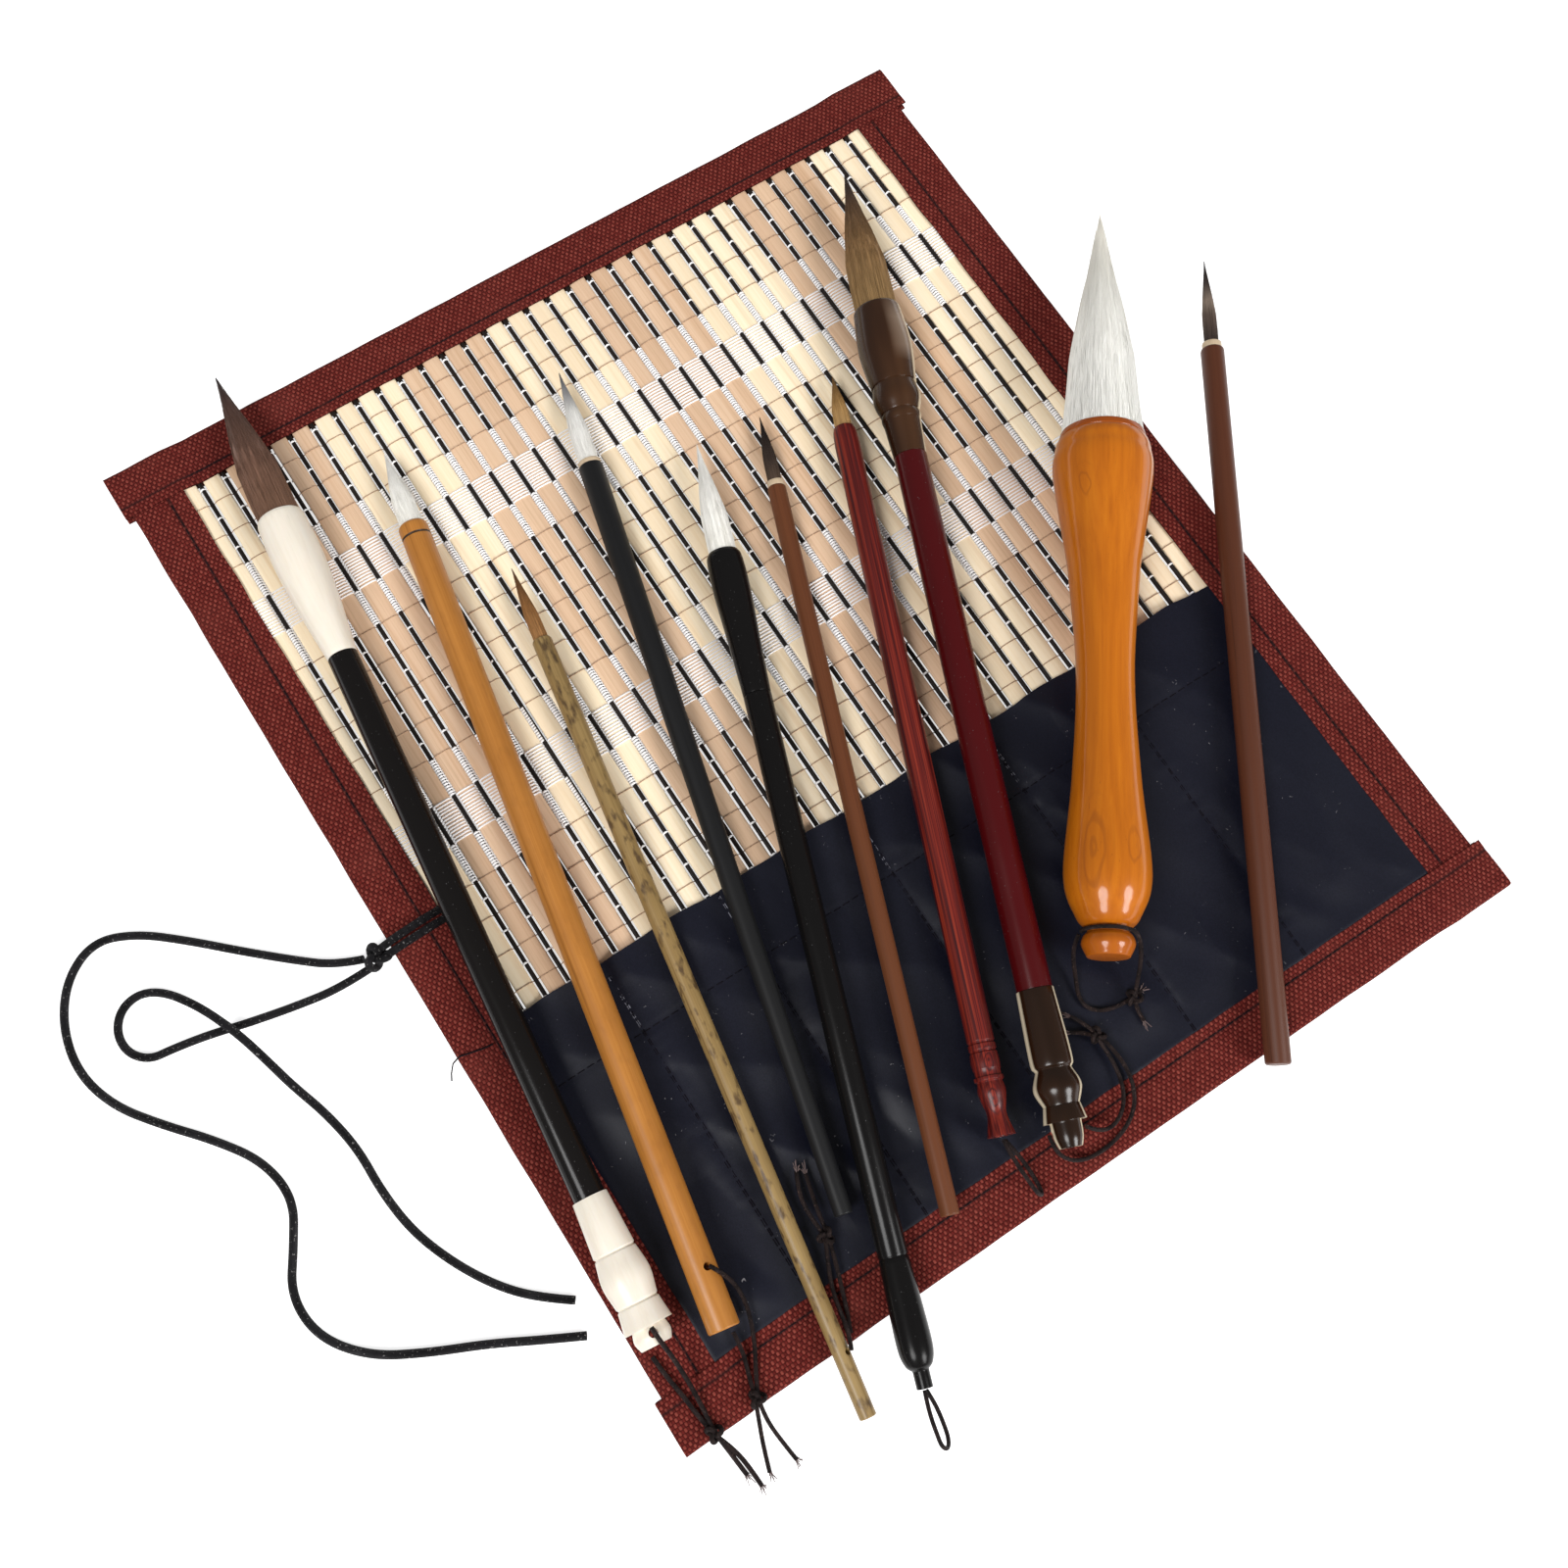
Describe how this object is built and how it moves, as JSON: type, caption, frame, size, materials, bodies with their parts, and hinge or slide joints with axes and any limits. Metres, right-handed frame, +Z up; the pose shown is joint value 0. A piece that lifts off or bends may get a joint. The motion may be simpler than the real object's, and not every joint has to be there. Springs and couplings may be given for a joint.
{
  "type": "roll-up brush mat with calligraphy brushes",
  "caption": "Roll-up bamboo slat mat with cloth edging, a cloth pocket and a tie cord, laid flat with pointed calligraphy brushes resting on it.",
  "frame": {"origin": "middle of the mat's near edge, on its underside, where it lies on the table", "axes": "+X across the slats, towards the right edge; +Y along the slats, from the near edge with the pocket to the far edge; +Z up"},
  "size_m": [0.4165, 0.3732, 0.0326],
  "materials": {
    "bamboo_slats": "split bamboo, satin, cream and tan groups with black dyed reeds between",
    "pocket_satin": "dark navy woven satin, slightly wrinkled",
    "maroon_tape": "ribbed cotton tape, folded over the edge and stitched",
    "tie_cord_braid": "black round braid with pale flecks",
    "loop_braid": "thin dark braid",
    "brown_hair": "brown animal hair, gathered to a point",
    "white_hair": "white goat hair, gathered to a point",
    "tan_hair": "tan animal hair, gathered to a point",
    "dark_hair": "dark animal hair, gathered to a point",
    "black_lacquer": "black lacquer, glossy",
    "matt_black_wood": "black stained wood, satin",
    "golden_bamboo": "natural bamboo, satin",
    "speckled_bamboo": "speckled bamboo, satin",
    "redbrown_wood": "red-brown wood, waxed",
    "red_hardwood": "red hardwood with dark grain, polished",
    "crimson_lacquer": "dark crimson lacquer, glossy",
    "amber_wood": "amber lacquered wood, glossy",
    "brown_wood": "brown wood, waxed",
    "ivory_plastic": "ivory coloured plastic, satin",
    "horn": "brown horn, polished, with a cream edge"
  },
  "bodies": {
    "mat_strip_1": {"woven_slats_1": "bamboo_slats", "edge_tape_left": "maroon_tape", "pocket_channel_1": "pocket_satin", "tie_cord_knot": "tie_cord_braid", "tie_cord_long_tail": "tie_cord_braid", "tie_cord_short_tail": "tie_cord_braid"},
    "mat_strip_2": {"woven_slats_2": "bamboo_slats", "top_tape_2": "maroon_tape", "bottom_tape_2": "maroon_tape", "pocket_channel_2": "pocket_satin"},
    "mat_strip_3": {"woven_slats_3": "bamboo_slats", "top_tape_3": "maroon_tape", "bottom_tape_3": "maroon_tape", "pocket_channel_3": "pocket_satin"},
    "mat_strip_4": {"woven_slats_4": "bamboo_slats", "top_tape_4": "maroon_tape", "bottom_tape_4": "maroon_tape", "pocket_channel_4": "pocket_satin"},
    "mat_strip_5": {"woven_slats_5": "bamboo_slats", "top_tape_5": "maroon_tape", "bottom_tape_5": "maroon_tape", "pocket_channel_5": "pocket_satin"},
    "mat_strip_6": {"woven_slats_6": "bamboo_slats", "edge_tape_right": "maroon_tape", "pocket_channel_6": "pocket_satin"},
    "brush_1": {"brush_1_tuft": "brown_hair", "brush_1_ferrule": "ivory_plastic", "brush_1_handle": "black_lacquer", "brush_1_cap": "ivory_plastic", "brush_1_loop": "loop_braid"},
    "brush_2": {"brush_2_tuft": "white_hair", "brush_2_handle": "golden_bamboo", "brush_2_loop": "loop_braid"},
    "brush_3": {"brush_3_tuft": "tan_hair", "brush_3_handle": "speckled_bamboo", "brush_3_loop": "loop_braid"},
    "brush_4": {"brush_4_tuft": "white_hair", "brush_4_collar": "ivory_plastic", "brush_4_handle": "matt_black_wood"},
    "brush_5": {"brush_5_tuft": "white_hair", "brush_5_ferrule": "black_lacquer", "brush_5_handle": "black_lacquer", "brush_5_loop": "loop_braid"},
    "brush_6": {"brush_6_tuft": "dark_hair", "brush_6_collar": "ivory_plastic", "brush_6_handle": "redbrown_wood"},
    "brush_7": {"brush_7_tuft": "tan_hair", "brush_7_handle": "red_hardwood", "brush_7_loop": "loop_braid"},
    "brush_8": {"brush_8_tuft": "brown_hair", "brush_8_ferrule": "horn", "brush_8_handle": "crimson_lacquer", "brush_8_cap": "horn", "brush_8_loop": "loop_braid"},
    "brush_9": {"brush_9_tuft": "white_hair", "brush_9_handle": "amber_wood", "brush_9_loop": "loop_braid"},
    "brush_10": {"brush_10_tuft": "dark_hair", "brush_10_collar": "ivory_plastic", "brush_10_handle": "brown_wood"}
  },
  "joints": [
    {"name": "mat_roll", "type": "hinge", "parent": "mat_strip_1", "child": "mat_strip_2", "pos_m": [-0.09525, 0.165, 0.003], "axis": [0, -1, 0], "range_deg": [0, 55]},
    {"name": "mat_fold_2", "type": "hinge", "parent": "mat_strip_2", "child": "mat_strip_3", "pos_m": [-0.04953, 0.165, 0.003], "axis": [0, -1, 0], "range_deg": [0, 55]},
    {"name": "mat_fold_3", "type": "hinge", "parent": "mat_strip_3", "child": "mat_strip_4", "pos_m": [-0.00381, 0.165, 0.003], "axis": [0, -1, 0], "range_deg": [0, 55]},
    {"name": "mat_fold_4", "type": "hinge", "parent": "mat_strip_4", "child": "mat_strip_5", "pos_m": [0.03429, 0.165, 0.003], "axis": [0, -1, 0], "range_deg": [0, 55]},
    {"name": "mat_fold_5", "type": "hinge", "parent": "mat_strip_5", "child": "mat_strip_6", "pos_m": [0.08001, 0.165, 0.003], "axis": [0, -1, 0], "range_deg": [0, 55]},
    {"name": "brushes_lift_clear", "type": "slide", "parent": "mat_strip_1", "child": "brush_9", "axis": [0, 0, 1], "range_m": [0, 0.72]},
    {"name": "brush_1_pick_up", "type": "slide", "parent": "brush_9", "child": "brush_1", "axis": [0, 0, 1], "range_m": [0, 0.12]},
    {"name": "brush_2_pick_up", "type": "slide", "parent": "brush_9", "child": "brush_2", "axis": [0, 0, 1], "range_m": [0, 0.12]},
    {"name": "brush_3_pick_up", "type": "slide", "parent": "brush_9", "child": "brush_3", "axis": [0, 0, 1], "range_m": [0, 0.12]},
    {"name": "brush_4_pick_up", "type": "slide", "parent": "brush_9", "child": "brush_4", "axis": [0, 0, 1], "range_m": [0, 0.12]},
    {"name": "brush_5_pick_up", "type": "slide", "parent": "brush_9", "child": "brush_5", "axis": [0, 0, 1], "range_m": [0, 0.12]},
    {"name": "brush_6_pick_up", "type": "slide", "parent": "brush_9", "child": "brush_6", "axis": [0, 0, 1], "range_m": [0, 0.12]},
    {"name": "brush_7_pick_up", "type": "slide", "parent": "brush_9", "child": "brush_7", "axis": [0, 0, 1], "range_m": [0, 0.12]},
    {"name": "brush_8_pick_up", "type": "slide", "parent": "brush_9", "child": "brush_8", "axis": [0, 0, 1], "range_m": [0, 0.12]},
    {"name": "brush_10_pick_up", "type": "slide", "parent": "brush_9", "child": "brush_10", "axis": [0, 0, 1], "range_m": [0, 0.12]}
  ],
  "couplings": [
    {"joint": "mat_roll", "follows": "brushes_lift_clear", "rad_per_m": 1.333},
    {"joint": "mat_fold_2", "follows": "brushes_lift_clear", "rad_per_m": 1.333},
    {"joint": "mat_fold_3", "follows": "brushes_lift_clear", "rad_per_m": 1.333},
    {"joint": "mat_fold_4", "follows": "brushes_lift_clear", "rad_per_m": 1.333},
    {"joint": "mat_fold_5", "follows": "brushes_lift_clear", "rad_per_m": 1.333}
  ]
}
